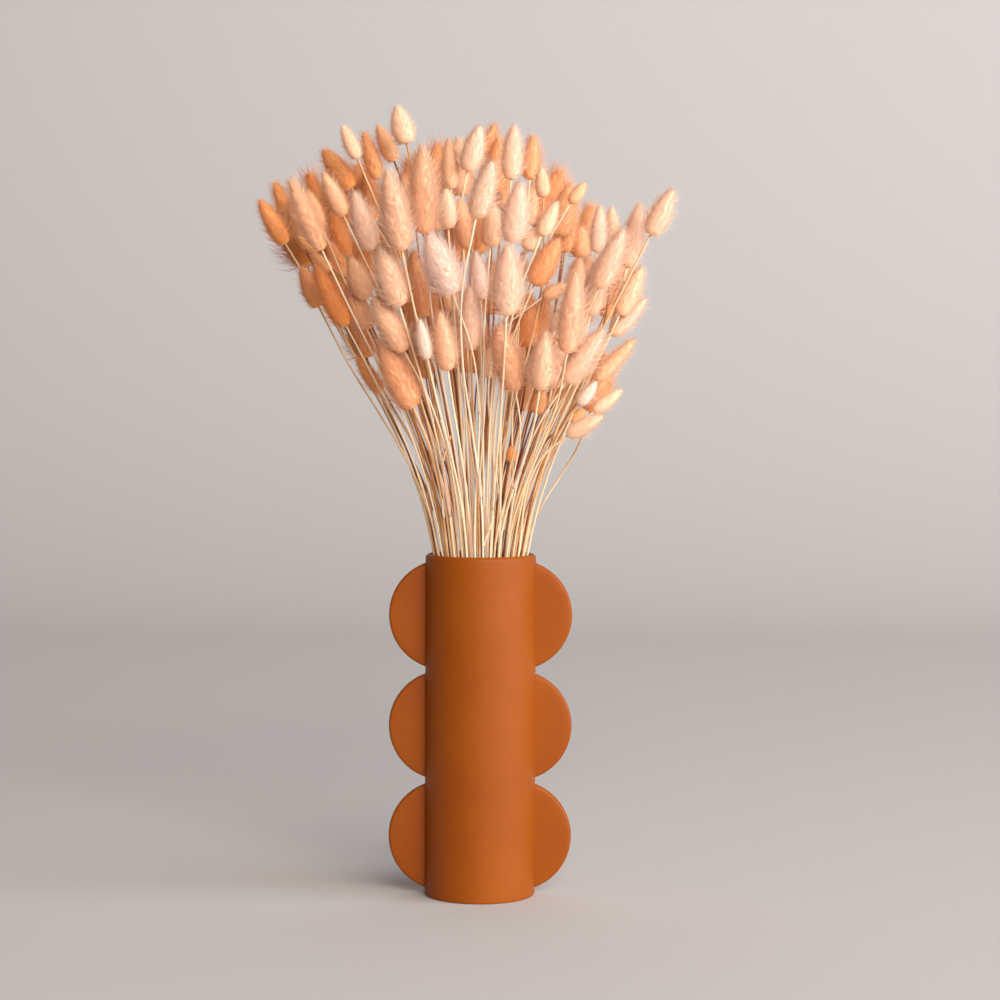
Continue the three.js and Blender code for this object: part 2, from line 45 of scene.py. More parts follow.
# The vase, in metres, as in the CAD
VASE_HEIGHT, VASE_RADIUS, VASE_WALL, VASE_FLOOR = 0.254, 0.041, 0.0045, 0.006
LIP_OUTSIDE, LIP_TOP, FOOT_ROUND = 0.0027, 0.0034, 0.0015  # the lip rounds over on an ellipse outside
FLOOR_ROUND = 0.004  # inside, between the wall and the floor
OUTSIDE_FROM, OUTSIDE_TO_LIP, OUTSIDE_ROWS = 0.006, 0.004, 22  # the even rows of the wall, and how many
INSIDE_TO_RIM, INSIDE_TO_FLOOR, INSIDE_ROWS = 0.01, 0.005, 8
VASE_SIDES = 144
LOBE_RADIUS, LOBE_FROM_AXIS, LOBE_FIRST, LOBE_STEP, LOBES = 0.041, 0.027, 0.0437, 0.0825, 3
NOTCH_ROUND, PLATE_THICK, PLATE_ROUND = 0.0023, 0.009, 0.0022
PLATE_ROOT, PLATE_SEAT = 0.0375, 0.002  # the root's distance from the axis, and the second line's from it
PLATE_FACE_IN = 3 * PLATE_ROUND  # where the flat faces begin, in from the edge
PLATE_CLEAR = 0.0002  # the edge never comes closer to the root than this
LIP_STEPS, BEAD_STEPS, FOOT_STEPS, FLOOR_STEPS = 10, 7, 6, 5  # points of each round
LOBE_STEPS, NOTCH_STEPS, EDGE_STEPS = 26, 9, 9

# The straws
STRAW_FOOT_R, STRAW_TOP_R = 0.00082, 0.00066
STRAW_GIRTHS = (0.88, 1.2)  # thinnest and thickest, times the radius
JOINTS_AT, JOINT_SPAN = (0.45, 0.85), 0.012  # shares of a straw
JOINT_SWELL = 0.5  # a share of its radius
STRAW_RINGS, STRAW_SIDES = 36, 6
# Straws are deeper towards the rear: painted shade inside the bunch, with some chance besides.
STRAW_SHADED_REAR_TONE, STRAW_FRONT_LIGHT_GAIN, STRAW_TONE_CHANCE = -0.02, 0.80, 0.18
STRAW_TONES_WITHIN = (0.03, 0.96)
STREAKS_ROUND = 0.004  # how far the tone's place moves half way round a straw, so that streaks change

# Broken straws: where their foot is seen (across, height), and the way from there to their end.
BROKEN_SEEN = ((-0.0307, 0.323, 0.0065, -0.0040, 0.0205), (0.0020, 0.262, 0.0078, -0.0030, 0.0230))
STRAW_NEAR = 0.0025  # a straw is at a seen place if it passes this close

# Dry leaves: where the large ones are seen at their upper end (across, height), and how many more there are.
LEAVES_SEEN = ((-0.0075, 0.285), (0.003, 0.300), (-0.030, 0.330), (0.012, 0.335))
LEAVES_MORE = 48
LEAVES_WITHIN = 0.034  # to either side
LEAF_STARTS = (0.42, 0.74)  # shares of a straw, for the others
LEAF_LENGTH_SEEN, LEAF_LENGTHS = 0.075, (0.03, 0.06)
LEAF_WIDE_SEEN, LEAF_WIDTHS = 0.0019, (0.0008, 0.0014)  # half widths
LEAF_WIDER_BEHIND, LEAF_POINT = 0.0006, 0.0002
LEAF_WIDE_AT_FOOT, LEAF_WIDENS, LEAF_POINT_POWER = 0.5, 3, 0.7
LEAF_CURL, LEAF_OPENS = 0.0011, 0.004  # its radius at the foot, and how much more it is at the tip
LEAF_CURL_MOST = 2.6  # radians to either side
LEAF_OFF_STRAW, LEAF_PEELS, LEAF_TURNS = 0.0012, (0.001, 0.006), 0.35
# Leaves further back are deeper: painted shade inside the bunch.
LEAF_TONES_SEEN, LEAF_TONE, LEAF_SHADE_BY_DEPTH, LEAF_TONE_CHANCE = (0.42, 0.62), 0.5, 22, 0.16
LEAF_TONES_WITHIN, LEAF_TONE_ACROSS = (0.02, 0.94), 0.03
LEAF_ROWS, LEAF_ACROSS, LEAF_KNOTS, LEAF_THICK = 16, 6, 120, 0.00012

# The CAD's grasses: their rings, and what is known of a head's.
SKIN_RINGS = 32
STRAW_RINGS_IN = (range(15, 6, -1), range(16, 25))  # a node's two straws, from the foot up
HEAD_RINGS_IN = (range(6, 0, -1), range(25, 31))
TIPS_IN = (0, 31)
HEAD_RINGS_AT = np.array([0.03, 0.15, 0.34, 0.54, 0.73, 0.88])  # from foot to tip
FULL_RING = 2
TUFT_RISE, CAD_HEAD_SHARE = 0.03, 0.98  # mean rise of a ring, by the head's length, and the full ring's width
MICRONS = 1e6  # in a metre
TINY, JUST_SHORT = 1e-12, 1e-9  # a vector's least length, and how far a curve ends before its last knot
ASKEW_DEPTH = np.array([0.13, 1.0, 0.07])  # nearly the depth's direction, and that of no straw or head

# The plush of a head
FULLEST_AT, FOOT_POWER, TIP_POWER = 0.34, 0.32, 0.62  # the teardrop profile
PLUSH_SHARES = (0.84, 0.96)  # of the head's width, under the loose down: at the front and at the back
FRONT_DEPTH, BACK_AFTER = -0.02, 0.08  # heads count as front ones to here, and as back ones so far behind
TUFT_RELIEF = 0.012  # how far the tufts rise, a share of the radius
TUFT_RIDGES = ((5, 19, 1.0), (4, -27, 1.7))  # waves about the head, winding along it, and share of its start
TUFT_START = 2.4  # from head to head
PLUSH_RINGS, PLUSH_SIDES = 17, 16
PLUSH_ENDS_AT, PLUSH_BODY_AT = (0.004, 0.015, 0.99), (0.035, 0.955)  # shares of the head

# The loose down
DOWN_HAIRS, HAIRS_MORE_BEHIND = 1190, -0.35  # on a head, on average
WISPS, WISPS_MORE_BEHIND = 180, 1.4
ROOTS_FROM, ROOTS_TO, ROOTS_AT_ENDS, ROOT_STEPS = 0.012, 0.965, 0.12, 400
GOLDEN_ANGLE, ROOT_CHANCE, ROOT_DEPTH = 2.39996, 0.12, 0.0003
LEAN_BY_SLOPE, LEAN_WITHIN, TO_RIDGE = 0.8, (-0.45, 0.85), 0.08
FINE_HAIR, BROAD_HAIR, HAIR_DEPTH = 0.0002, 0.00045, 0.6  # widths, and depth by width
LONG_HAIRS, LONG_TIMES = 0.18, 1.8  # the share of hairs that are long, and how much longer they are
LIFT_LONG, LIFT_FINE, LIFT_LESS_BROAD, LIFT_CHANCE, HAIR_ASIDE = 46, 26, 14, 8, 13  # degrees
HAIR_LENGTH, HAIR_LENGTH_CHANCE = 0.12, 0.08  # shares of the head's length
HAIR_SHORTER_AT_TIP, HAIR_LENGTH_AT_FOOT = 0.3, 0.6  # shares of that length
FULL_LENGTH_FROM = 0.15  # a share of the head
WISP_LIFT, WISP_LIFT_CHANCE, WISP_ASIDE = 46, 14, 20
WISP_LENGTHS = (0.16, 0.27)  # shares of the head's length
WISP_SHORTER_AT_TIP, WISP_LONGER_BEHIND = 0.45, 0.8
WISP_BEND_UP, WISP_BEND_IN, WISP_BEND_CHANCE = 0.22, 0.1, 0.1  # by its length
WISP_WIDTHS, WISP_DEPTH, WISP_WAIST = (0.0002, 0.0003), 0.7, 0.75
SOFT_SHARE = 0.45  # how far a hair is shaded like the head's surface under it, not like its own faces
HEAD_PIECES = 6

# Tones of heads, from 0, deep orange, to 1, pale pink. Along the bunch they carry painted light: paler to
# the right, where the light comes from, and deeper to the rear, painted shade inside the bunch. Some heads
# are named by where the foot is seen from the front: (across, height) in metres, and the tone.
TONE_MIDDLE, PAINTED_LIGHT_TO_RIGHT, PAINTED_SHADE_TO_REAR, TONE_CHANCE, HEAD_TONES_WITHIN = 0.42, 1.5, -2.6, 0.12, (0.06, 0.85)
NAMED_TONES = (
    (-0.084, 0.478, 0.80), (-0.019, 0.447, 1.00), (-0.001, 0.442, 0.88), (-0.040, 0.397, 0.92),
    (0.122, 0.498, 0.85), (0.073, 0.364, 0.92), (-0.147, 0.483, 0.10), (-0.142, 0.497, 0.12),
    (-0.120, 0.496, 0.20), (-0.124, 0.477, 0.15), (-0.122, 0.437, 0.15), (-0.102, 0.422, 0.05),
    (-0.075, 0.373, 0.08), (-0.001, 0.541, 0.25), (0.038, 0.453, 0.28), (0.035, 0.406, 0.15),
    (0.060, 0.478, 0.22), (0.024, 0.321, 0.02), (0.041, 0.357, 0.20), (-0.059, 0.554, 0.72),
    (-0.092, 0.545, 0.66), (-0.017, 0.537, 0.80), (0.018, 0.528, 0.78), (0.014, 0.431, 0.82),
    (-0.060, 0.438, 0.70), (-0.060, 0.479, 0.70), (0.104, 0.466, 0.78), (0.059, 0.402, 0.68),
    (0.039, 0.376, 0.68),
)
# Painted shade at a head's foot, where shade falls under the head.
FOOT_PAINTED_SHADE, FOOT_SPAN = 0.25, 0.1  # how much deeper the tone is at a head's foot, and how far up that goes
# Hairs over a tuft's hollow are deeper, over its ridge paler: painted shade.
HAIR_TONE_CHANCE, HAIR_TUFT_SHADE = 0.09, 0.02
# Wisps of the rear heads are deeper: painted shade inside the bunch.
WISP_TONE_CHANCE, WISP_SHADE_BEHIND = 0.12, 0.12
TONES_WITHIN = (0.02, 0.98)

# How far towards a hair's tip each ring of points is coloured, from 0 to 1. The lower the value, the deeper
# the colour: painted shade in the depth of the fur, where the roots and the plush lie.
# The plush is paler on its tufts and deeper in the hollows between them: painted shade.
PLUSH_FOOT_U, PLUSH_U, PLUSH_TUFT_SHADE_U, PLUSH_TIP_U = 0.2, 0.5, 0.06, 0.9
HAIR_U = (0.35, 0.35, 0.35, 1.0)
WISP_U = (0.3, 0.3, 0.3, 0.7, 0.7, 0.7, 1.0)

# Colours along a value, as (place, colour)
MOTTLE, SAND, SAND_SHARE = 16.0, 900.0, 0.5  # how fine each is, and how much the sand shades the clay
CLAY_COLOURS = ((0.3, (0.262, 0.049, 0.0004)), (0.7, (0.30, 0.062, 0.001)))
SAND_SHADES = ((0.3, (0.86, 0.84, 0.82)), (0.7, (1.08, 1.08, 1.1)))
CLAY_ROUGHNESS, CLAY_GLOSS, SAND_BUMP, SAND_HEIGHT = (0.46, 0.56), 0.17, 0.25, 0.0003
NOISE_MIDDLE = (0.3, 0.7)  # what most noise lies between
STRAW_COLOURS = (
    (0.0, (0.20, 0.04, 0.005)), (0.25, (0.52, 0.20, 0.05)),
    (0.5, (0.88, 0.58, 0.32)), (0.9, (0.95, 0.76, 0.56)),
)
STRAW_DRIFT, DRIFT_STRETCH = (-0.16, 0.16), (5.0, 260.0, 1.0)
STREAK_SHADES = ((0.3, (0.8, 0.72, 0.64)), (0.6, (1.0, 1.0, 1.0)))
STREAK_SHARE, STREAK_STRETCH = 0.6, (60.0, 1400.0, 1.0)
STRAW_ROUGHNESS, STRAW_GLOSS = 0.5, 0.4
LEAF_COLOURS = (
    (0.0, (0.36, 0.12, 0.03)), (0.45, (0.84, 0.52, 0.38)),
    (0.7, (0.91, 0.67, 0.49)), (1.0, (0.96, 0.82, 0.62)),
)
VEIN_SHADES = ((0.35, (0.72, 0.62, 0.54)), (0.6, (1.0, 1.0, 1.0)))
VEIN_SHARE, VEIN_STRETCH = 0.7, (12.0, 400.0, 1.0)
LEAF_ROUGHNESS, LEAF_LIGHT = 0.6, 0.25  # its light is the share that comes through
# Colours at the roots: the tones deepened, painted shade in the depth of the fur.
SHADED_ROOT_COLOURS = (
    (0.0, (0.83, 0.25, 0.03)), (0.35, (0.93, 0.41, 0.125)),
    (0.65, (0.96, 0.55, 0.27)), (1.0, (0.97, 0.69, 0.54)),
)
TIP_COLOURS = (
    (0.0, (0.93, 0.45, 0.16)), (0.35, (0.96, 0.64, 0.42)),
    (0.65, (0.96, 0.74, 0.59)), (1.0, (0.96, 0.81, 0.76)),
)
DOWN_ROUGHNESS, DOWN_GLOSS, DOWN_LIGHT = 0.9, 0.15, 0.45
PLUSH_ROUGHNESS, PLUSH_GLOSS = 0.95, 0.1
SHEEN, SHEEN_ROUGHNESS, SHEEN_COLOUR = 0.3, 0.45, (1.0, 0.92, 0.86)

# The camera stands where the photograph was taken.
EYE = (0.014, -1.867, 0.391)
EYE_TILT_DEG, EYE_ROLL_DEG, LENS_MM, SENSOR_MM = 2.975, 0.25, 90.9, 36.0
NEAREST, FARTHEST = 0.05, 50
EXPOSURE, GAMMA = -0.03, 1.08

# The floor ends in front and above, and turns up behind on an arc.
FLOOR_FRONT, FLOOR_TURN, FLOOR_BEND, FLOOR_TOP, FLOOR_SIDE = -7.0, 1.8, 1.3, 7.0, 9.0
FLOOR_BEND_STEPS, FLOOR_COLUMNS = 24, 5
FLOOR_COLOUR, FLOOR_ROUGHNESS = (0.54, 0.515, 0.51), 0.9

# Lamps: name, place, what they aim at, size across and up, watts, colour
MIDDLE = (0, 0, 0.35)
LAMPS = (
    ("side_light", (4.9, -2.0, 1.8), MIDDLE, (4.4, 3.4), 355, (0.90, 0.96, 1.0)),
    ("front_light", (1.6, -4.3, 2.3), MIDDLE, (3.6, 3.0), 300, (1.0, 0.90, 0.79)),
    ("rear_light", (0.0, 1.5, 3.4), (0, 3.1, 0.9), (3.0, 0.6), 14, (1.0, 0.97, 0.97)),
)
AIR_COLOUR, AIR_STRENGTH = (0.90, 0.84, 0.82), 0.07


# Making meshes
def unit(v):
    """Each vector over its own length."""
    return v / np.maximum(np.linalg.norm(v, axis=-1, keepdims=True), TINY)


def arc(centre, radius, start_deg, end_deg, steps):
    """Points of a circle's arc: the centre plus the radius times the cosine and the sine of each angle."""
    a = np.radians(np.linspace(start_deg, end_deg, steps))
    return np.stack([centre[0] + radius * np.cos(a), centre[1] + radius * np.sin(a)], -1)


def between(ends, share):
    """A value from one end, at share 0, to the other, at share 1."""
    return ends[0] + (ends[1] - ends[0]) * share


def sheet_faces(rows, cols, round_cols=True):
    """Quads of a grid of rows x cols points. The last column joins the first where round_cols is true."""
    r = np.arange(rows - 1)[:, None]
    c = np.arange(cols if round_cols else cols - 1)[None, :]
    d = (c + 1) % cols
    return np.stack([r * cols + c, r * cols + d, (r + 1) * cols + d, (r + 1) * cols + c], -1).reshape(-1, 4)


def closing_fans(rings, sides):
    """Triangles that close a tube of rings at both ends. The two points after its rings are the middles of
    the first ring and of the last, and each is joined to every side of its ring."""
    k = np.arange(sides)
    after = (k + 1) % sides
    last = (rings - 1) * sides
    first_fan = np.stack([np.full(sides, rings * sides), after, k], -1)
    last_fan = np.stack([np.full(sides, rings * sides + 1), last + k, last + after], -1)
    return np.concatenate([first_fan, last_fan])


def for_copies(faces, copies, points_each):
    """The same faces for a row of equal parts, each part's numbers shifted past the part before."""
    return (faces[None] + (np.arange(copies) * points_each)[:, None, None]).reshape(-1, faces.shape[1])


def lean_normals(points, faces, lean):
    """For each corner of faces, the face's own normal drawn towards lean; zero, which keeps the mesh's own
    normal, where there is nothing to lean to. A face's normal is the cross product of its diagonals, or of
    two sides."""
    corners = faces.shape[1]
    if lean is None:
        return np.zeros((len(faces) * corners, 3))
    p = points[faces]
    own = unit(np.cross(p[:, corners - 2] - p[:, 0], p[:, corners - 1] - p[:, corners - 3]))
    return np.repeat(unit((1 - SOFT_SHARE) * own + SOFT_SHARE * lean), corners, 0)


def make_piece(name, points, faces, materials, worn=None, spread=None, leans=None):
    """A piece of the object: points (n, 3), faces a list of arrays of triangles or quads, worn the material
    number of each array of faces, spread a UV place for every point, and leans has, for each array, nothing
    or the direction that each face's shading leans to. All of it is shaded smooth."""
    points = np.ascontiguousarray(points.reshape(-1, 3), np.float32)
    corners = np.concatenate([f.ravel() for f in faces]).astype(np.int32)
    sizes = np.concatenate([np.full(len(f), f.shape[1], np.int32) for f in faces])
    mesh = bpy.data.meshes.new(name)
    mesh.vertices.add(len(points))
    mesh.vertices.foreach_set("co", points.ravel())
    mesh.loops.add(len(corners))
    mesh.loops.foreach_set("vertex_index", corners)
    mesh.polygons.add(len(sizes))
    mesh.polygons.foreach_set("loop_start", np.concatenate([[0], np.cumsum(sizes)[:-1]]).astype(np.int32))
    mesh.polygons.foreach_set("use_smooth", np.full(len(sizes), True))
    for material in materials:
        mesh.materials.append(material)
    if worn is not None:
        numbers = [np.full(len(f), w, np.int32) for f, w in zip(faces, worn)]
        mesh.polygons.foreach_set("material_index", np.concatenate(numbers))
    if spread is not None:
        layer = mesh.uv_layers.new(name="OFBake")
        layer.data.foreach_set("uv", spread.reshape(-1, 2)[corners].astype(np.float32).ravel())
    mesh.update(calc_edges=True)
    mesh.validate()
    if leans is not None:
        normals = [lean_normals(points, f, lean) for f, lean in zip(faces, leans)]
        mesh.normals_split_custom_set(np.concatenate(normals))
    piece = bpy.data.objects.new(name, mesh)
    bpy.context.scene.collection.objects.link(piece)
    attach(piece, "root")
    return piece


# Finishes
class Finish:
    """A material with its shader, and short calls for the nodes before it."""

    def __init__(self, name):
        self.material = bpy.data.materials.new(name)
        self.material.use_nodes = True
        self.tree = self.material.node_tree
        self.shader = self.tree.nodes["Principled BSDF"]
        self.output = self.tree.nodes["Material Output"]

    def node(self, kind, **settings):
        """A new node with those settings."""
        node = self.tree.nodes.new(kind)
        for key, value in settings.items():
            setattr(node, key, value)
        return node

    def feed(self, socket, value):
        """Gives a socket another node's value, a number or a colour."""
        if isinstance(value, bpy.types.NodeSocket):
            self.tree.links.new(value, socket)
        else:
            socket.default_value = value if isinstance(value, float) else (*value, 1.0)

    def coat(self, colour, roughness, gloss=0.5):
        """The shader's colour, roughness and gloss."""
        self.feed(self.shader.inputs["Base Color"], colour)
        self.feed(self.shader.inputs["Roughness"], roughness)
        self.feed(self.shader.inputs["Specular IOR Level"], gloss)

    def let_through(self, colour, share):
        """Lets light of that colour through, by that share, and leaves the rest to the shader."""
        through = self.node("ShaderNodeBsdfTranslucent")
        self.feed(through.inputs["Color"], colour)
        mix = self.node("ShaderNodeMixShader")
        self.feed(mix.inputs[0], share)
        self.feed(mix.inputs[1], self.shader.outputs[0])
        self.feed(mix.inputs[2], through.outputs[0])
        self.feed(self.output.inputs["Surface"], mix.outputs[0])

    def own_map(self):
        """The piece's own UV map: a place on it, and its u and v alone."""
        place = self.node("ShaderNodeUVMap", uv_map="OFBake").outputs["UV"]
        parts = self.node("ShaderNodeSeparateXYZ")
        self.feed(parts.inputs[0], place)
        return place, parts.outputs["X"], parts.outputs["Y"]

    def noise(self, place, scale, detail=2.0, stretch=(1, 1, 1)):
        """Soft noise of that scale over a place, stretched along its axes."""
        turn = self.node("ShaderNodeMapping")
        turn.inputs["Scale"].default_value = stretch
        self.feed(turn.inputs["Vector"], place)
        noise = self.node("ShaderNodeTexNoise")
        self.feed(noise.inputs["Scale"], scale)
        self.feed(noise.inputs["Detail"], detail)
        self.feed(noise.inputs["Vector"], turn.outputs["Vector"])
        return noise.outputs["Fac"]

    def ramp(self, value, stops):
        """Colours along a value, from stops of (place, colour)."""
        ramp = self.node("ShaderNodeValToRGB")
        band = ramp.color_ramp
        while len(band.elements) < len(stops):
            band.elements.new(1.0)
        for element, (place, colour) in zip(band.elements, stops):
            element.position = place
            element.color = (*colour, 1.0)
        self.feed(ramp.inputs["Fac"], value)
        return ramp.outputs["Color"]

    def blend(self, how, share, a, b):
        """b over a by share, which is a number or another node's value."""
        mix = self.node("ShaderNodeMix", data_type="RGBA", blend_type=how)
        self.feed(mix.inputs[0], share)
        self.feed(mix.inputs[6], a)
        self.feed(mix.inputs[7], b)
        return mix.outputs[2]

    def carried(self, value, low_high, to_low_high):
        """A value carried from one range to another."""
        carry = self.node("ShaderNodeMapRange")
        for socket, number in zip(carry.inputs[1:5], (*low_high, *to_low_high)):
            self.feed(socket, number)
        self.feed(carry.inputs["Value"], value)
        return carry.outputs["Result"]


def fired_clay():
    """Matte terracotta: broad soft mottling, fine sand, and a sandy bump, all on the vase's own place."""
    f = Finish("terracotta_clay")
    place = f.node("ShaderNodeTexCoord").outputs["Object"]
    colour = f.ramp(f.noise(place, MOTTLE, 3.0), CLAY_COLOURS)
    sand = f.noise(place, SAND, 3.0)
    colour = f.blend("MULTIPLY", SAND_SHARE, colour, f.ramp(sand, SAND_SHADES))
    f.coat(colour, f.carried(sand, NOISE_MIDDLE, CLAY_ROUGHNESS), CLAY_GLOSS)
    bump = f.node("ShaderNodeBump")
    f.feed(bump.inputs["Strength"], SAND_BUMP)
    f.feed(bump.inputs["Distance"], SAND_HEIGHT)
    f.feed(bump.inputs["Height"], sand)
    f.feed(f.shader.inputs["Normal"], bump.outputs["Normal"])
    return f.material


def dry_straw():
    """Straw: u runs along a stem, and v is its tone, from deep brown to pale cream; the deep tones are mostly
    painted shade on the straws at the rear. The tone drifts slowly along the stem, with thin streaks."""
    f = Finish("dry_straw")
    place, _, tone = f.own_map()
    drifting = f.node("ShaderNodeMath", operation="ADD")
    f.feed(drifting.inputs[0], tone)
    f.feed(drifting.inputs[1], f.carried(f.noise(place, 1.0, 2.0, DRIFT_STRETCH), NOISE_MIDDLE, STRAW_DRIFT))
    streak = f.ramp(f.noise(place, 1.0, 3.0, STREAK_STRETCH), STREAK_SHADES)
    colour = f.blend("MULTIPLY", STREAK_SHARE, f.ramp(drifting.outputs[0], STRAW_COLOURS), streak)
    f.coat(colour, STRAW_ROUGHNESS, STRAW_GLOSS)
    return f.material


def papery_leaf():
    """Dry leaf: u runs along a leaf, and v is its tone, from brown through pinkish tan to cream, with fine
    veins along it. Light comes through."""
    f = Finish("papery_leaf")
    place, _, tone = f.own_map()
    vein = f.ramp(f.noise(place, 1.0, 3.0, VEIN_STRETCH), VEIN_SHADES)
    colour = f.blend("MULTIPLY", VEIN_SHARE, f.ramp(tone, LEAF_COLOURS), vein)
    f.coat(colour, LEAF_ROUGHNESS)
    f.let_through(colour, LEAF_LIGHT)
    return f.material


def down_colour(f):
    """Down's colour: u runs from a hair's root to its tip, v is its tone from deep orange to pale pink. Roots
    are deeper, painted shade in the depth of the fur, and tips paler."""
    _, to_tip, tone = f.own_map()
    return f.blend("MIX", to_tip, f.ramp(tone, SHADED_ROOT_COLOURS), f.ramp(tone, TIP_COLOURS))


def soft_down():
    """Loose hairs: matt, and light comes through them."""
    f = Finish("soft_down")
    colour = down_colour(f)
    f.coat(colour, DOWN_ROUGHNESS, DOWN_GLOSS)
    f.let_through(colour, DOWN_LIGHT)
    return f.material


def plush_down():
    """The plush under the loose hairs: the same colours, with a pale sheen where it turns away."""
    f = Finish("plush_down")
    f.coat(down_colour(f), PLUSH_ROUGHNESS, PLUSH_GLOSS)
    f.feed(f.shader.inputs["Sheen Weight"], SHEEN)
    f.feed(f.shader.inputs["Sheen Roughness"], SHEEN_ROUGHNESS)
    f.feed(f.shader.inputs["Sheen Tint"], SHEEN_COLOUR)
    return f.material


CLAY, STRAW, LEAF, DOWN, PLUSH = fired_clay(), dry_straw(), papery_leaf(), soft_down(), plush_down()


# The vase
def vase_profile():
    """The wall as a line of (radius, height): from half way along the underside, round the foot, up the
    outside, over the lip, down the inside, round to the floor and half way to its middle."""
    inner = VASE_RADIUS - VASE_WALL
    bead = VASE_WALL - LIP_OUTSIDE  # the round of the lip's inner edge
    outside = np.linspace(OUTSIDE_FROM, VASE_HEIGHT - LIP_TOP - OUTSIDE_TO_LIP, OUTSIDE_ROWS)
    inside = np.linspace(VASE_HEIGHT - INSIDE_TO_RIM, VASE_FLOOR + INSIDE_TO_FLOOR, INSIDE_ROWS)
    lip = arc((0, 0), 1.0, 0, 90, LIP_STEPS) * (LIP_OUTSIDE, LIP_TOP)
    return np.concatenate([
        [[VASE_RADIUS / 2, 0.0]],
        arc((VASE_RADIUS - FOOT_ROUND, FOOT_ROUND), FOOT_ROUND, -90, 0, FOOT_STEPS),
        np.stack([np.full(OUTSIDE_ROWS, VASE_RADIUS), outside], -1),
        lip + (VASE_RADIUS - LIP_OUTSIDE, VASE_HEIGHT - LIP_TOP),
        arc((inner + bead, VASE_HEIGHT - bead), bead, 90, 180, BEAD_STEPS)[1:],
        np.stack([np.full(INSIDE_ROWS, inner), inside], -1),
        arc((inner - FLOOR_ROUND, VASE_FLOOR + FLOOR_ROUND), FLOOR_ROUND, 0, -90, FLOOR_STEPS),
        [[inner / 2, VASE_FLOOR]],
    ])


def vase_body():
    """The thrown wall: the profile turned about the axis, its radius times the cosine and the sine of the
    turn, and closed at the middle of the underside and of the floor."""
    profile = vase_profile()
    turn = np.linspace(0, 2 * np.pi, VASE_SIDES, endpoint=False)
    r, z = profile[:, :1], profile[:, 1:]
    rings = np.stack([r * np.cos(turn), r * np.sin(turn), z + 0 * turn], -1)
    points = np.concatenate([rings.reshape(-1, 3), [[0, 0, 0], [0, 0, VASE_FLOOR]]])
    return points, sheet_faces(len(profile), VASE_SIDES), closing_fans(len(profile), VASE_SIDES)


def plate_outline():
    """The lobed edge from foot to top, as (distance from the axis, height): arcs of the lobes, joined in each
    notch by a small arc that touches both lobes."""
    centres = LOBE_FIRST + LOBE_STEP * np.arange(LOBES)
    reach = LOBE_RADIUS + NOTCH_ROUND
    half = LOBE_STEP / 2
    notch_x = LOBE_FROM_AXIS + math.sqrt(reach**2 - half**2)
    meet = math.degrees(math.asin(half / reach))  # the angle on a lobe where the notch's arc begins
    root = math.degrees(math.acos((PLATE_ROOT - LOBE_FROM_AXIS) / LOBE_RADIUS))
    runs = []
    for k, z in enumerate(centres):
        low = -root if k == 0 else -meet
        high = root if k == LOBES - 1 else meet
        runs.append(arc((LOBE_FROM_AXIS, z), LOBE_RADIUS, low, high, LOBE_STEPS)[(0 if k == 0 else 1):])
        if k < LOBES - 1:
            runs.append(arc((notch_x, z + half), NOTCH_ROUND, 180 + meet, 180 - meet, NOTCH_STEPS)[1:])
    return np.concatenate(runs)


def vase_plate(side):
    """One side plate: the outline pushed in by a rounded edge's profile, which is carried from the root line
    on the front, round the edge, to the root line on the back. A line just outside the root, still in the
    wall, keeps the shading of the faces flat."""
    edge = plate_outline()
    along = np.gradient(edge, axis=0)
    out = unit(np.stack([along[:, 1], -along[:, 0]], -1))
    a = np.linspace(-np.pi / 2, np.pi / 2, EDGE_STEPS)
    front, back = a[: EDGE_STEPS // 2], a[EDGE_STEPS // 2 + 1 :]
    inset = np.concatenate([[PLATE_FACE_IN], PLATE_ROUND * (1 - np.cos(a)), [PLATE_FACE_IN]])
    half = PLATE_THICK / 2
    deep = np.concatenate([
        [-half], -half + PLATE_ROUND + PLATE_ROUND * np.sin(front),
        [0.0], half - PLATE_ROUND + PLATE_ROUND * np.sin(back), [half],
    ])
    x = np.maximum(edge[:, 0, None] - out[:, 0, None] * inset, PLATE_ROOT + PLATE_CLEAR)
    z = edge[:, 1, None] - out[:, 1, None] * inset
    rim = np.stack([x, np.broadcast_to(deep, x.shape), z], -1)
    root = rim[:, [0, -1]].copy()
    root[:, :, 0] = PLATE_ROOT
    seat = rim[:, [0, -1]].copy()
    seat[:, :, 0] = PLATE_ROOT + np.minimum(PLATE_SEAT, 0.5 * (seat[:, :, 0] - PLATE_ROOT))
    rings = np.concatenate([root[:, :1], seat[:, :1], rim, seat[:, 1:], root[:, 1:]], 1)
    rings[..., 0] *= side
    rows, cols = rings.shape[:2]
    faces = sheet_faces(rows, cols)
    ends = np.stack([np.arange(cols), (rows - 1) * cols + np.arange(cols)[::-1]])
    if side > 0:
        faces = faces[:, ::-1]
    else:
        ends = ends[:, ::-1]
    return rings.reshape(-1, 3), faces, ends


def make_vase():
    """The body with a plate on the left and one on the right, whose roots stand in its wall."""
    points, *faces = vase_body()
    for side in (-1, 1):
        plate, *plate_faces = vase_plate(side)
        faces += [f + len(points) for f in plate_faces]
        points = np.concatenate([points, plate])
    piece = make_piece("terracotta_vase", points, faces, [CLAY])
    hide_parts("vase")


# Reading the grasses of the frame
def steps_along(near, start):
    """How many steps each point is from the start, over the edges in near."""
    steps = np.full(len(near), -1)
    front = np.arange(len(near)) == start
    k = 0
    while front.any():
        steps[front] = k
        front = near[front].any(0) & (steps < 0)
        k += 1
    return steps


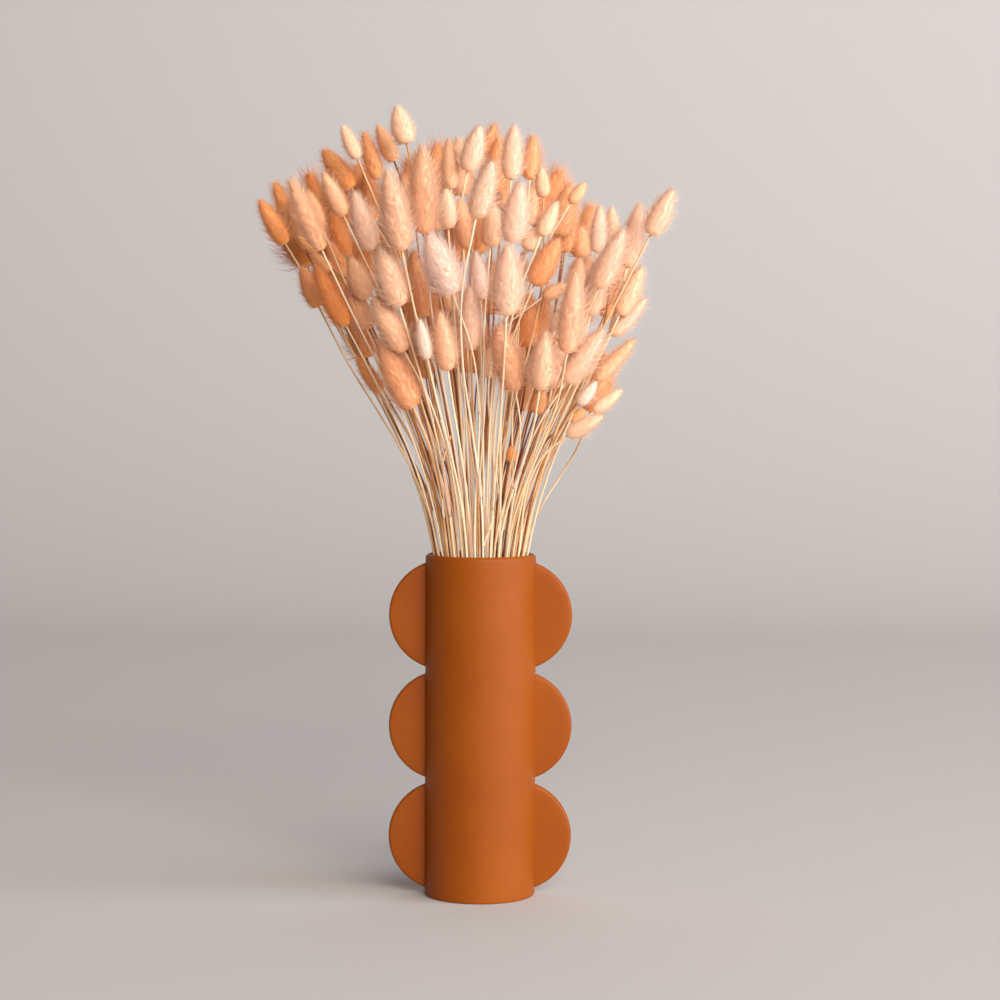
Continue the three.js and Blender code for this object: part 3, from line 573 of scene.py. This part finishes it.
def read_grasses(node):
    """Two grasses of a CAD node. Its skin is one path of rings: a tip, six head rings, nine straw rings down
    to the foot, nine up again, six head rings and a tip. Doubled points are merged, and each point's count
    of steps from a tip is the number of its ring. Gives the straw (9, 3), the middles of the head's rings
    (6, 3), the tip, and the head's radius where it is fullest."""
    mesh = node.data
    raw = np.empty(len(mesh.vertices) * 3, np.float32)
    mesh.vertices.foreach_get("co", raw)
    corners = np.empty(len(mesh.loops), np.int32)
    mesh.loops.foreach_get("vertex_index", corners)
    rounded = np.round(raw.reshape(-1, 3) * MICRONS).astype(np.int64)
    points, same = np.unique(rounded, axis=0, return_inverse=True)
    points = points / MICRONS
    tri = same.ravel()[corners].reshape(-1, 3)
    near = np.zeros((len(points),) * 2, bool)
    for a, b in ((0, 1), (1, 2), (2, 0)):
        near[tri[:, a], tri[:, b]] = near[tri[:, b], tri[:, a]] = True
    steps = steps_along(near, steps_along(near, 0).argmax())
    middles = np.stack([points[steps == k].mean(0) for k in range(steps.max() + 1)])
    if len(middles) != SKIN_RINGS:
        raise ValueError(f"{node.name}: {len(middles)} rings")
    grasses = []
    for straw_at, head_at, tip_at in zip(STRAW_RINGS_IN, HEAD_RINGS_IN, TIPS_IN):
        straw, tip = middles[list(straw_at)], middles[tip_at]
        axis = tip - straw[-1]
        head = middles[list(head_at)] - axis * TUFT_RISE
        ring = points[steps == head_at[FULL_RING]] - head[FULL_RING]
        flat = ring - np.outer(ring @ axis, axis) / np.linalg.norm(axis) ** 2
        grasses.append((straw, head, tip, np.linalg.norm(flat, axis=1).max() / CAD_HEAD_SHARE))
    return grasses


def head_handles():
    """The handle of each head's line, which is a curve from foot to tip with one handle: where the middles of
    the inner four rings ask for it, on average."""
    s = HEAD_RINGS_AT[None, :, None]
    handles = (HEAD_RINGS - (1 - s) ** 2 * FEET[:, None] - s**2 * TIPS[:, None]) / (2 * s * (1 - s))
    return handles[:, 1:5].mean(1)


NODES = sorted(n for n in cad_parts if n.startswith("bunny_tails"))
grasses = [grass for n in NODES for grass in read_grasses(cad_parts[n])]
STRAWS, HEAD_RINGS, TIPS, RADII = map(np.stack, zip(*grasses))
FEET = STRAWS[:, -1]  # a head's foot is the top of its straw
COUNT = len(STRAWS)
HANDLES = head_handles()
LENGTHS = np.linalg.norm(TIPS - FEET, axis=1)
LENGTHS_OF_STRAWS = np.linalg.norm(np.diff(STRAWS, axis=1), axis=2).sum(1)
BEHIND = np.clip((FEET[:, 1] - FRONT_DEPTH) / BACK_AFTER, 0, 1)  # from 0 at the front to 1 at the back
PLUSH_RADII = between(PLUSH_SHARES, BEHIND) * RADII


def seen_place(points):
    """Where the eye sees points on the upright plane through the vase's axis, as (across, height): on the
    line from the eye through the point, at the share of the way where its depth is nothing."""
    eye = np.array(EYE)
    share = -eye[1] / (points[..., 1] - eye[1])
    return (eye + (points - eye) * share[..., None])[..., [0, 2]]


# Straws
def smooth_line(knots, rows):
    """Points of a curve through each row of knots: between two knots it is a cubic, which passes each knot in
    the direction from the knot before to the knot after."""
    ends = np.concatenate([2 * knots[:, :1] - knots[:, 1:2], knots, 2 * knots[:, -1:] - knots[:, -2:-1]], 1)
    at = np.linspace(0, knots.shape[1] - 1 - JUST_SHORT, rows)
    k = at.astype(int)
    t = (at - k)[None, :, None]
    a, b, c, d = (ends[:, k + i] for i in range(4))
    return 0.5 * (2 * b + (c - a) * t + (2 * a - 5 * b + 4 * c - d) * t**2 + (3 * b - 3 * c + d - a) * t**3)


def directions_across(along):
    """Two directions across each direction: its cross product with the depth's, and that one's with it."""
    side = unit(np.cross(along, ASKEW_DEPTH))
    return side, np.cross(side, along)


def nearest_straw(line, across, height):
    """The frontmost straw that is seen near a place: its number, and the ring nearest to that height."""
    seen = seen_place(line)
    ring = np.abs(seen[..., 1] - height).argmin(1)
    at = np.arange(len(line))
    away = np.abs(seen[at, ring, 0] - across)
    k = np.where(away < STRAW_NEAR, line[at, ring, 1], 1.0 + away).argmin()
    return k, ring[k]


def broken_straws(line):
    """Short straight ends that stand off the front of a straw, from the places where they are seen."""
    ends = []
    for across, height, *way in BROKEN_SEEN:
        k, ring = nearest_straw(line, across, height)
        ends.append(line[k, ring] + np.linspace(0, 1, STRAW_RINGS)[:, None] * np.array(way))
    return np.stack(ends)


def straw_tones(line):
    """Tones rise evenly with a straw's rank from the rearmost to the frontmost, at three quarters of its
    length, with some chance. The rise is painted shade: the rear straws lie deep in the bunch."""
    depth = line[:, 3 * STRAW_RINGS // 4, 1]
    front = np.argsort(np.argsort(-depth)) / len(line)
    tones = STRAW_SHADED_REAR_TONE + STRAW_FRONT_LIGHT_GAIN * front + rng.normal(0, STRAW_TONE_CHANCE, len(line))
    return np.clip(tones, *STRAW_TONES_WITHIN)


def make_straws():
    """Each stem is a six-sided tube: its line plus its radius times the cosine and the sine of the turn. The
    radius shrinks towards the head and swells in a bell curve at the joint."""
    line = smooth_line(STRAWS, STRAW_RINGS)
    line = np.concatenate([line, broken_straws(line)])
    count = len(line)
    t = np.linspace(0, 1, STRAW_RINGS)
    radius = between((STRAW_FOOT_R, STRAW_TOP_R), t)[None, :] * rng.uniform(*STRAW_GIRTHS, (count, 1))
    joints = rng.uniform(*JOINTS_AT, (count, 1))
    radius = radius * (1 + JOINT_SWELL * np.exp(-(((t[None] - joints) / JOINT_SPAN) ** 2)))
    turn = np.linspace(0, 2 * np.pi, STRAW_SIDES, endpoint=False)
    side, back = directions_across(unit(np.gradient(line, axis=1)))
    across = side[:, :, None] * np.cos(turn)[:, None] + back[:, :, None] * np.sin(turn)[:, None]
    tubes = line[:, :, None] + across * radius[:, :, None, None]
    points = np.concatenate([tubes.reshape(count, -1, 3), line[:, [0, -1]]], 1)
    tone = straw_tones(line)
    v = tone[:, None, None] + STREAKS_ROUND * np.abs(turn / np.pi - 1)[None, None, :]
    spread = np.stack(np.broadcast_arrays(t[None, :, None], v), -1).reshape(count, -1, 2)
    ends = np.stack(np.broadcast_arrays([0.0, 1.0], tone[:, None]), -1)
    each = STRAW_RINGS * STRAW_SIDES + 2
    tube, fans = sheet_faces(STRAW_RINGS, STRAW_SIDES), closing_fans(STRAW_RINGS, STRAW_SIDES)
    piece = make_piece(
        "straws", points, [for_copies(tube, count, each), for_copies(fans, count, each)],
        [STRAW], spread=np.concatenate([spread, ends], 1),
    )
    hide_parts(*NODES)


# Dry leaves
def leaf_places(line):
    """The straw and the ring of each leaf: the large ones where their upper end is seen, then the others,
    which start by chance on straws that are not far out."""
    seen = [nearest_straw(line, across, height) for across, height in LEAVES_SEEN]
    lowest, highest = (int(share * LEAF_KNOTS) for share in LEAF_STARTS)
    others = [(k, rng.integers(lowest, highest)) for k in rng.permutation(COUNT)[:LEAVES_MORE]]
    return seen, [(k, start) for k, start in others if abs(line[k, start, 0]) < LEAVES_WITHIN]


def leaf_skin(middle, face, wide, curl, lifted):
    """A leaf's outer and inner skin in one row of points across, (rows, points, 3): arcs about the line in
    the middle, with the radius of the curl, as long as the leaf is wide there, and lifted off the line."""
    along = unit(np.gradient(middle, axis=0))
    out = unit(face - along * (along @ face)[:, None])
    side = np.cross(along, out)
    angle = np.linspace(-1, 1, LEAF_ACROSS) * np.minimum(wide / curl, LEAF_CURL_MOST)[:, None]
    skins = []
    for raised in (LEAF_THICK, 0.0):
        r = (curl + raised)[:, None]
        height = r * np.cos(angle) - curl[:, None] + lifted[:, None]
        sideways = side[:, None] * (r * np.sin(angle))[..., None]
        skins.append(middle[:, None] + sideways + out[:, None] * height[..., None])
    return np.concatenate([skins[0], skins[1][:, ::-1]], 1)


def leaf_faces():
    """The skin round a leaf, and strips that close it at both ends."""
    cols = 2 * LEAF_ACROSS
    c = np.arange(LEAF_ACROSS - 1)
    foot = np.stack([c, cols - 1 - c, cols - 2 - c, c + 1], -1)
    point = foot[:, ::-1] + (LEAF_ROWS - 1) * cols
    return sheet_faces(LEAF_ROWS, cols)[:, ::-1], np.concatenate([foot, point])[:, ::-1]


def make_leaves():
    """Dry leaves that sheathe a straw and peel off above. The half width grows from the straw's own girth and
    ends in a point, the curl opens on the way, and a leaf leaves its straw by the square of the way."""
    line = smooth_line(STRAWS, LEAF_KNOTS)
    seen, others = leaf_places(line)
    q = np.linspace(0, 1, LEAF_ROWS)
    u = np.broadcast_to(q[:, None], (LEAF_ROWS, 2 * LEAF_ACROSS))
    points, spread = [], []
    for k, at in seen + others:
        large = len(points) < len(seen)
        length = LEAF_LENGTH_SEEN if large else rng.uniform(*LEAF_LENGTHS)
        rings = int(length / (LENGTHS_OF_STRAWS[k] / LEAF_KNOTS))
        first = at - rings if large else at
        middle = smooth_line(line[k : k + 1, first : first + rings], LEAF_ROWS)[0]
        face = unit(np.array([rng.normal(0, LEAF_TURNS), -1.0, 0.0]))
        depth = line[k, at, 1]
        wide = LEAF_WIDE_SEEN if large else rng.uniform(*LEAF_WIDTHS) + LEAF_WIDER_BEHIND * (depth > 0)
        wide = wide * np.minimum(LEAF_WIDE_AT_FOOT + LEAF_WIDENS * q, 1)
        wide = wide * (1 - q) ** LEAF_POINT_POWER + LEAF_POINT
        peel = rng.uniform(*LEAF_PEELS) * q**2
        points.append(leaf_skin(middle, face, wide, LEAF_CURL + LEAF_OPENS * q, LEAF_OFF_STRAW + peel))
        if large:
            tone = rng.uniform(*LEAF_TONES_SEEN)
        else:
            # Deeper the further back: painted shade inside the bunch.
            tone = LEAF_TONE - LEAF_SHADE_BY_DEPTH * depth + rng.normal(0, LEAF_TONE_CHANCE)
            tone = np.clip(tone, *LEAF_TONES_WITHIN)
        v = tone + LEAF_TONE_ACROSS * np.abs(np.linspace(-1, 1, 2 * LEAF_ACROSS))
        spread.append(np.stack([u, np.broadcast_to(v, u.shape)], -1))
    faces = [for_copies(f, len(points), u.size) for f in leaf_faces()]
    make_piece("dry_leaves", np.stack(points), faces, [LEAF], spread=np.stack(spread))


# Downy heads
def fullness(s):
    """The teardrop: a power of the way from the foot times a power of the way to the tip, nothing at both and
    1 where it is fullest."""
    return (s / FULLEST_AT) ** FOOT_POWER * ((1 - s) / (1 - FULLEST_AT)) ** TIP_POWER


def head_places(who, s, turn):
    """On the plush of heads who, at shares s of their lines and at turns about them: the place, which is the
    line's plus the radius outwards; the line's direction; the direction outwards; and the surface's slope
    against the line."""
    s1 = s[..., None]
    foot, handle, tip = FEET[who], HANDLES[who], TIPS[who]
    middle = (1 - s1) ** 2 * foot + 2 * s1 * (1 - s1) * handle + s1**2 * tip
    along = unit(2 * (1 - s1) * (handle - foot) + 2 * s1 * (tip - handle))
    side, back = directions_across(along)
    out = side * np.cos(turn)[..., None] + back * np.sin(turn)[..., None]
    radius = PLUSH_RADII[who] * fullness(s)
    slope = radius * (FOOT_POWER / s - TIP_POWER / (1 - s)) / LENGTHS[who]
    return middle + out * radius[..., None], along, out, slope


def head_tones():
    """Tones rise from left to right, painted light from the lit side, and fall from front to back, painted
    shade in the bunch, with some chance; the named heads get theirs by the nearest seen foot."""
    tones = TONE_MIDDLE + PAINTED_LIGHT_TO_RIGHT * FEET[:, 0] + PAINTED_SHADE_TO_REAR * FEET[:, 1]
    tones = np.clip(tones + rng.normal(0, TONE_CHANCE, COUNT), *HEAD_TONES_WITHIN)
    named = np.array(NAMED_TONES)
    away = np.linalg.norm(named[:, None, :2] - seen_place(FEET)[None], axis=-1)
    tones[away.argmin(1)] = named[:, 2]
    return tones


def tufts(who, s, turn):
    """The pattern of tufts over a head, from -1 to 1: two sets of ridges that wind about it and cross, with a
    start of their own on each head."""
    start = TUFT_START * who
    return sum(np.sin(about * turn + up * s + own * start) for about, up, own in TUFT_RIDGES) / 2


def painted_shade_at_foot(s):
    """Painted shade near a head's foot, where shade falls under the head: how much deeper the tone is there. It
    fades with the way up.
    """
    return FOOT_PAINTED_SHADE * np.exp(-s / FOOT_SPAN)


def make_plush(who):
    """The plush of each head: rings about its line, raised in tufts, closed at foot and tip."""
    n = len(who)
    s = np.concatenate([PLUSH_ENDS_AT[:2], np.linspace(*PLUSH_BODY_AT, PLUSH_RINGS - 3), PLUSH_ENDS_AT[2:]])
    turn = np.linspace(0, 2 * np.pi, PLUSH_SIDES, endpoint=False)
    grid_who, grid_s, grid_turn = np.broadcast_arrays(who[:, None, None], s[None, :, None], turn)
    raised = tufts(grid_who, grid_s, grid_turn)
    place, _, out, _ = head_places(grid_who, grid_s, grid_turn)
    place = place + out * (TUFT_RELIEF * raised * PLUSH_RADII[grid_who] * fullness(grid_s))[..., None]
    points = np.concatenate([place.reshape(n, -1, 3), FEET[who][:, None], TIPS[who][:, None]], 1)
    # Paler on the tufts, deeper in their hollows: painted shade.
    u = (PLUSH_U + PLUSH_TUFT_SHADE_U * raised).reshape(n, -1)
    u = np.concatenate([u, np.full((n, 1), PLUSH_FOOT_U), np.full((n, 1), PLUSH_TIP_U)], 1)
    tone = TONES[who][:, None]
    # The plush is deeper near its foot: painted shade.
    v = (tone[:, None] - painted_shade_at_foot(grid_s)).reshape(n, -1)
    v = np.concatenate([v, tone - FOOT_PAINTED_SHADE, tone], 1)
    spread = np.stack([u, np.clip(v, *TONES_WITHIN)], -1)
    each = PLUSH_RINGS * PLUSH_SIDES + 2
    shapes = sheet_faces(PLUSH_RINGS, PLUSH_SIDES), closing_fans(PLUSH_RINGS, PLUSH_SIDES)
    return points, [for_copies(f, n, each) for f in shapes], spread, [None, None]


def sow(who, mean_count, more_behind):
    """Roots of hairs, as head, share of its line and turn. How many a head carries goes with its surface and
    its place in the bunch. Up the head they are as dense as it is full, and each follows the last by a golden
    angle, as seeds do, so that they cover it evenly."""
    shares = np.linspace(ROOTS_FROM, ROOTS_TO, ROOT_STEPS)
    sown = np.cumsum(fullness(shares) + ROOTS_AT_ENDS)
    sown /= sown[-1]
    area = RADII * LENGTHS
    number = np.round(mean_count * area[who] / area.mean() * (1 + more_behind * BEHIND[who])).astype(int)
    owner = np.repeat(who, number)
    nth = np.arange(len(owner)) - np.repeat(np.cumsum(number) - number, number)
    s = np.interp((nth + rng.random(len(owner))) / np.repeat(number, number), sown, shares)
    return owner, s, GOLDEN_ANGLE * nth + rng.normal(0, ROOT_CHANCE, len(owner))


def hair_directions(owner, s, turn, lift_deg, spread_deg):
    """A hair runs along the head, leaning out by the surface's own slope plus its lift, and a little aside,
    towards the ridge of its tuft. Gives the root, just under the plush; the hair's direction; the direction
    outwards from the head; and two directions across the hair, along the plush and out of it."""
    root, along, out, slope = head_places(owner, s, turn)
    lean = np.clip(LEAN_BY_SLOPE * np.arctan(slope), *LEAN_WITHIN) + np.radians(lift_deg)
    aside = np.radians(spread_deg) * rng.normal(0, 1, len(owner)) + TO_RIDGE * tufts(owner, s, turn)
    across = np.cross(along, out)
    way = unit(along * np.cos(lean)[:, None] + out * np.sin(lean)[:, None] + across * aside[:, None])
    flat = unit(np.cross(way, out))
    return root - out * ROOT_DEPTH, way, out, flat, np.cross(flat, way)


def down_spread(u, tone):
    """The UV place of each point of hairs: u is the same on all hairs, and v is the hair's tone."""
    tone = np.clip(tone, *TONES_WITHIN)
    return np.stack([np.broadcast_to(u, (len(tone), len(u))), np.repeat(tone[:, None], len(u), 1)], -1)


def make_hairs(who):
    """Straight hairs: a closed spike of four triangles, its broad face outwards. The broad ones are tufts of
    hairs that lie flat, the fine ones stand out, and some of them are long."""
    owner, s, turn = sow(who, DOWN_HAIRS, HAIRS_MORE_BEHIND)
    n = len(owner)
    broad = rng.random(n) ** 2
    long = rng.random(n) < LONG_HAIRS
    lift = np.where(long, LIFT_LONG, LIFT_FINE - LIFT_LESS_BROAD * broad) + rng.normal(0, LIFT_CHANCE, n)
    root, way, out, flat, up = hair_directions(owner, s, turn, lift, HAIR_ASIDE)
    length = HAIR_LENGTH + HAIR_LENGTH_CHANCE * rng.random(n)
    length = length * np.where(long, LONG_TIMES, 1.0) * LENGTHS[owner]
    near_foot = between((HAIR_LENGTH_AT_FOOT, 1), np.minimum(s / FULL_LENGTH_FROM, 1))
    length = (length * ((1 - HAIR_SHORTER_AT_TIP * s) * near_foot))[:, None]
    width = between((FINE_HAIR, BROAD_HAIR), broad)[:, None]
    side = flat * width / 2
    points = np.stack([root + side, root - side, root - up * width * HAIR_DEPTH, root + way * length], 1)
    # Deeper over the tufts' hollows: painted shade.
    tone = TONES[owner] + HAIR_TONE_CHANCE * rng.normal(0, 1, n) + HAIR_TUFT_SHADE * tufts(owner, s, turn)
    # Hairs near the foot are deeper: painted shade.
    tone = tone - painted_shade_at_foot(s)
    spike = np.array([[0, 3, 1], [1, 3, 2], [2, 3, 0], [0, 1, 2]])
    return points, [for_copies(spike, n, 4)], down_spread(HAIR_U, tone), [np.repeat(out, 4, 0)]


def make_wisps(who):
    """Long fine hairs that stand out and bend towards the head's tip: a three-sided spike with a ring half way,
    whose point is moved by the bend."""
    owner, s, turn = sow(who, WISPS, WISPS_MORE_BEHIND)
    n = len(owner)
    lift = rng.normal(WISP_LIFT, WISP_LIFT_CHANCE, n)
    root, way, out, flat, up = hair_directions(owner, s, turn, lift, WISP_ASIDE)
    length = rng.uniform(*WISP_LENGTHS, n) * LENGTHS[owner]
    length = (length * (1 - WISP_SHORTER_AT_TIP * s) * (1 + WISP_LONGER_BEHIND * BEHIND[owner]))[:, None]
    chance = rng.normal(0, WISP_BEND_CHANCE, n)[:, None]
    bend = (unit(TIPS[owner] - FEET[owner]) * WISP_BEND_UP - out * WISP_BEND_IN + out * chance) * length
    width = rng.uniform(*WISP_WIDTHS, n)[:, None]
    section = np.stack([flat * width / 2, -flat * width / 2, -up * width * WISP_DEPTH], 1)
    half = root + way * length * 0.5
    tip = root + way * length + bend
    points = np.concatenate([root[:, None] + section, half[:, None] + section * WISP_WAIST, tip[:, None]], 1)
    # Deeper on the rear heads: painted shade inside the bunch.
    tone = TONES[owner] + WISP_TONE_CHANCE * rng.normal(0, 1, n) - WISP_SHADE_BEHIND * BEHIND[owner]
    walls = np.array([[0, 3, 4, 1], [1, 4, 5, 2], [2, 5, 3, 0]])
    ends = np.array([[0, 1, 2], [3, 6, 4], [4, 6, 5], [5, 6, 3]])
    faces = [for_copies(walls, n, 7), for_copies(ends, n, 7)]
    return points, faces, down_spread(WISP_U, tone), [np.repeat(out, 3, 0), np.repeat(out, 4, 0)]


def make_heads():
    """The heads in a few pieces, each with the plush, the straight hairs and the wisps of its grasses."""
    for k, nodes in enumerate(np.array_split(np.arange(len(NODES)), HEAD_PIECES)):
        who = np.concatenate([nodes * 2, nodes * 2 + 1])
        points, faces, spread, leans, start = [], [], [], [], 0
        for p, f, uv, lean in (make_plush(who), make_hairs(who), make_wisps(who)):
            points.append(p.reshape(-1, 3))
            faces += [a + start for a in f]
            spread.append(uv.reshape(-1, 2))
            leans += lean
            start += len(points[-1])
        piece = make_piece(
            f"downy_heads_{k + 1}", np.concatenate(points), faces, [PLUSH, DOWN],
            worn=[0, 0, 1, 1, 1], spread=np.concatenate(spread), leans=leans,
        )
        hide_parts(*(NODES[i] for i in nodes))


TONES = head_tones()
make_vase()
make_straws()
make_leaves()
make_heads()


# Floor, light and camera
def make_floor():
    """A pale floor that turns up behind the object: a line of (depth, height), with an arc in it, carried
    across."""
    f = Finish("pale_floor")
    f.coat(FLOOR_COLOUR, FLOOR_ROUGHNESS)
    bend = arc((FLOOR_TURN, FLOOR_BEND), FLOOR_BEND, -90, 0, FLOOR_BEND_STEPS)
    line = np.concatenate([[[FLOOR_FRONT, 0.0]], bend, [[FLOOR_TURN + FLOOR_BEND, FLOOR_TOP]]])
    across = np.linspace(-FLOOR_SIDE, FLOOR_SIDE, FLOOR_COLUMNS)
    points = np.stack(np.broadcast_arrays(across[None, :], line[:, :1], line[:, 1:]), -1)
    faces = sheet_faces(len(line), FLOOR_COLUMNS, False)[:, ::-1]
    mesh = bpy.data.meshes.new("floor")
    mesh.from_pydata(points.reshape(-1, 3).tolist(), [], faces.tolist())
    mesh.polygons.foreach_set("use_smooth", np.full(len(mesh.polygons), True))
    mesh.materials.append(f.material)
    floor = bpy.data.objects.new("floor", mesh)
    bpy.context.scene.collection.objects.link(floor)


def make_lamp(name, place, aim, size, watts, colour):
    """A flat lamp of that size at a place, turned to face what it aims at."""
    lamp = bpy.data.lights.new(name, "AREA")
    lamp.shape = "RECTANGLE"
    lamp.size, lamp.size_y = size
    lamp.energy = watts
    lamp.color = colour
    light = bpy.data.objects.new(name, lamp)
    bpy.context.scene.collection.objects.link(light)
    light.location = place
    light.rotation_euler = (Vector(aim) - Vector(place)).to_track_quat("-Z", "Y").to_euler()


def make_air():
    """The even light from all sides, and the tones of the picture."""
    air = bpy.data.worlds.new("pale_air")
    air.use_nodes = True
    shader = air.node_tree.nodes["Background"]
    shader.inputs["Color"].default_value = (*AIR_COLOUR, 1)
    shader.inputs["Strength"].default_value = AIR_STRENGTH
    bpy.context.scene.world = air
    view = bpy.context.scene.view_settings
    view.view_transform = "Standard"
    view.exposure = EXPOSURE
    view.gamma = GAMMA


def make_camera():
    """The camera at the eye's place, level but for its tilt down and its small roll."""
    camera = bpy.data.cameras.new("camera")
    camera.lens, camera.sensor_width = LENS_MM, SENSOR_MM
    camera.clip_start, camera.clip_end = NEAREST, FARTHEST
    eye = bpy.data.objects.new("camera", camera)
    bpy.context.scene.collection.objects.link(eye)
    eye.location = EYE
    eye.rotation_mode = "XYZ"
    tilt = Matrix.Rotation(math.radians(90 - EYE_TILT_DEG), 4, "X")
    roll = Matrix.Rotation(math.radians(EYE_ROLL_DEG), 4, "Z")
    eye.rotation_euler = (tilt @ roll).to_euler()
    bpy.context.scene.camera = eye


make_floor()
for lamp in LAMPS:
    make_lamp(*lamp)
make_air()
make_camera()
